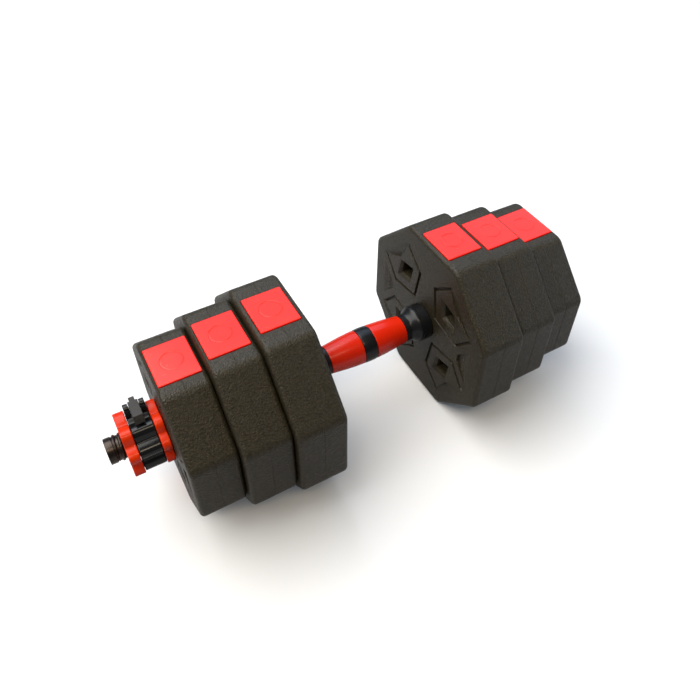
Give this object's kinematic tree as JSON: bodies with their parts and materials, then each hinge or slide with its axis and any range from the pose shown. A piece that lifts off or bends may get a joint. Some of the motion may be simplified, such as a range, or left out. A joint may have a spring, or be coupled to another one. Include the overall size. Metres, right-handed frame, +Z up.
{
  "type": "adjustable dumbbell",
  "caption": "Adjustable dumbbell: threaded bar with tapered two-colour grip, stepped octagonal filled plates with red rim inserts, and split quick-release lobed nuts.",
  "frame": {"origin": "on the floor, straight below the middle of the bar", "axes": "+X along the bar, +Z up, +Y across; the red inserts of every plate face +Z and -Z"},
  "size_m": [0.5112, 0.19, 0.192],
  "materials": {
    "black_steel": "satin",
    "grip_red": "gloss",
    "grip_black": "gloss",
    "plate_shell": "matte",
    "filling": "matte",
    "insert_red": "gloss",
    "nut_red": "satin",
    "nut_black": "gloss",
    "pin_steel": "satin",
    "latch_steel": "satin",
    "washer_rubber": "matte"
  },
  "bodies": {
    "handle": {"bar": "black_steel", "grip_band": "grip_black", "grip_sleeve_left": "grip_red", "grip_sleeve_right": "grip_red", "stop_flange_left": "grip_black", "stop_flange_right": "grip_black"},
    "plate_left_inner": {"plate_left_inner_shell": "plate_shell", "plate_left_inner_core": "filling", "plate_left_inner_insert_top": "insert_red", "plate_left_inner_insert_bottom": "insert_red"},
    "plate_left_middle": {"plate_left_middle_shell": "plate_shell", "plate_left_middle_core": "filling", "plate_left_middle_insert_top": "insert_red", "plate_left_middle_insert_bottom": "insert_red"},
    "plate_left_outer": {"plate_left_outer_shell": "plate_shell", "plate_left_outer_core": "filling", "plate_left_outer_insert_top": "insert_red", "plate_left_outer_insert_bottom": "insert_red"},
    "collar_left_washer_ring": {"collar_left_washer": "washer_rubber"},
    "collar_left_fixed_jaw": {"collar_left_fixed_rear_disc": "nut_red", "collar_left_fixed_body": "nut_black", "collar_left_fixed_front_disc": "nut_red", "collar_left_hinge_pin": "pin_steel", "collar_left_screw_1": "pin_steel", "collar_left_screw_2": "pin_steel", "collar_left_screw_3": "pin_steel", "collar_left_screw_4": "pin_steel"},
    "collar_left_swing_jaw": {"collar_left_swing_rear_disc": "nut_red", "collar_left_swing_body": "nut_black", "collar_left_swing_front_disc": "nut_red", "collar_left_latch_pin": "pin_steel"},
    "collar_left_latch": {"collar_left_latch_lever": "latch_steel"},
    "plate_right_inner": {"plate_right_inner_shell": "plate_shell", "plate_right_inner_core": "filling", "plate_right_inner_insert_top": "insert_red", "plate_right_inner_insert_bottom": "insert_red"},
    "plate_right_middle": {"plate_right_middle_shell": "plate_shell", "plate_right_middle_core": "filling", "plate_right_middle_insert_top": "insert_red", "plate_right_middle_insert_bottom": "insert_red"},
    "plate_right_outer": {"plate_right_outer_shell": "plate_shell", "plate_right_outer_core": "filling", "plate_right_outer_insert_top": "insert_red", "plate_right_outer_insert_bottom": "insert_red"},
    "collar_right_washer_ring": {"collar_right_washer": "washer_rubber"},
    "collar_right_fixed_jaw": {"collar_right_fixed_rear_disc": "nut_red", "collar_right_fixed_body": "nut_black", "collar_right_fixed_front_disc": "nut_red", "collar_right_hinge_pin": "pin_steel", "collar_right_screw_1": "pin_steel", "collar_right_screw_2": "pin_steel", "collar_right_screw_3": "pin_steel", "collar_right_screw_4": "pin_steel"},
    "collar_right_swing_jaw": {"collar_right_swing_rear_disc": "nut_red", "collar_right_swing_body": "nut_black", "collar_right_swing_front_disc": "nut_red", "collar_right_latch_pin": "pin_steel"},
    "collar_right_latch": {"collar_right_latch_lever": "latch_steel"}
  },
  "joints": [
    {"name": "plate_left_inner_slide", "type": "slide", "parent": "handle", "child": "plate_left_inner", "axis": [-1, 0, 0], "range_m": [0, 0.191]},
    {"name": "plate_left_middle_slide", "type": "slide", "parent": "plate_left_inner", "child": "plate_left_middle", "axis": [-1, 0, 0], "range_m": [0, 0.144]},
    {"name": "plate_left_outer_slide", "type": "slide", "parent": "plate_left_middle", "child": "plate_left_outer", "axis": [-1, 0, 0], "range_m": [0, 0.1]},
    {"name": "collar_left_travel", "type": "slide", "parent": "plate_left_outer", "child": "collar_left_washer_ring", "axis": [-1, 0, 0], "range_m": [0, 0.0575]},
    {"name": "collar_left_turn", "type": "hinge", "parent": "collar_left_washer_ring", "child": "collar_left_fixed_jaw", "pos_m": [-0.2046, 0, 0.096], "axis": [-1, 0, 0], "range_deg": [0, 4145]},
    {"name": "collar_left_jaw_swing", "type": "hinge", "parent": "collar_left_fixed_jaw", "child": "collar_left_swing_jaw", "pos_m": [-0.22185, 0, 0.069], "axis": [-1, 0, 0], "range_deg": [0, 75]},
    {"name": "collar_left_latch_lift", "type": "hinge", "parent": "collar_left_swing_jaw", "child": "collar_left_latch", "pos_m": [-0.22185, 0.011, 0.1275], "axis": [-1, 0, 0], "range_deg": [0, 100]},
    {"name": "plate_right_inner_slide", "type": "slide", "parent": "handle", "child": "plate_right_inner", "axis": [1, 0, 0], "range_m": [0, 0.191]},
    {"name": "plate_right_middle_slide", "type": "slide", "parent": "plate_right_inner", "child": "plate_right_middle", "axis": [1, 0, 0], "range_m": [0, 0.144]},
    {"name": "plate_right_outer_slide", "type": "slide", "parent": "plate_right_middle", "child": "plate_right_outer", "axis": [1, 0, 0], "range_m": [0, 0.1]},
    {"name": "collar_right_travel", "type": "slide", "parent": "plate_right_outer", "child": "collar_right_washer_ring", "axis": [1, 0, 0], "range_m": [0, 0.0575]},
    {"name": "collar_right_turn", "type": "hinge", "parent": "collar_right_washer_ring", "child": "collar_right_fixed_jaw", "pos_m": [0.2046, 0, 0.096], "axis": [1, 0, 0], "range_deg": [0, 4145]},
    {"name": "collar_right_jaw_swing", "type": "hinge", "parent": "collar_right_fixed_jaw", "child": "collar_right_swing_jaw", "pos_m": [0.22185, 0, 0.069], "axis": [1, 0, 0], "range_deg": [0, 75]},
    {"name": "collar_right_latch_lift", "type": "hinge", "parent": "collar_right_swing_jaw", "child": "collar_right_latch", "pos_m": [0.22185, -0.011, 0.1275], "axis": [1, 0, 0], "range_deg": [0, 100]}
  ],
  "couplings": [
    {"joint": "collar_left_turn", "follows": "collar_left_travel", "rad_per_m": 1256.6},
    {"joint": "collar_right_turn", "follows": "collar_right_travel", "rad_per_m": 1256.6}
  ]
}
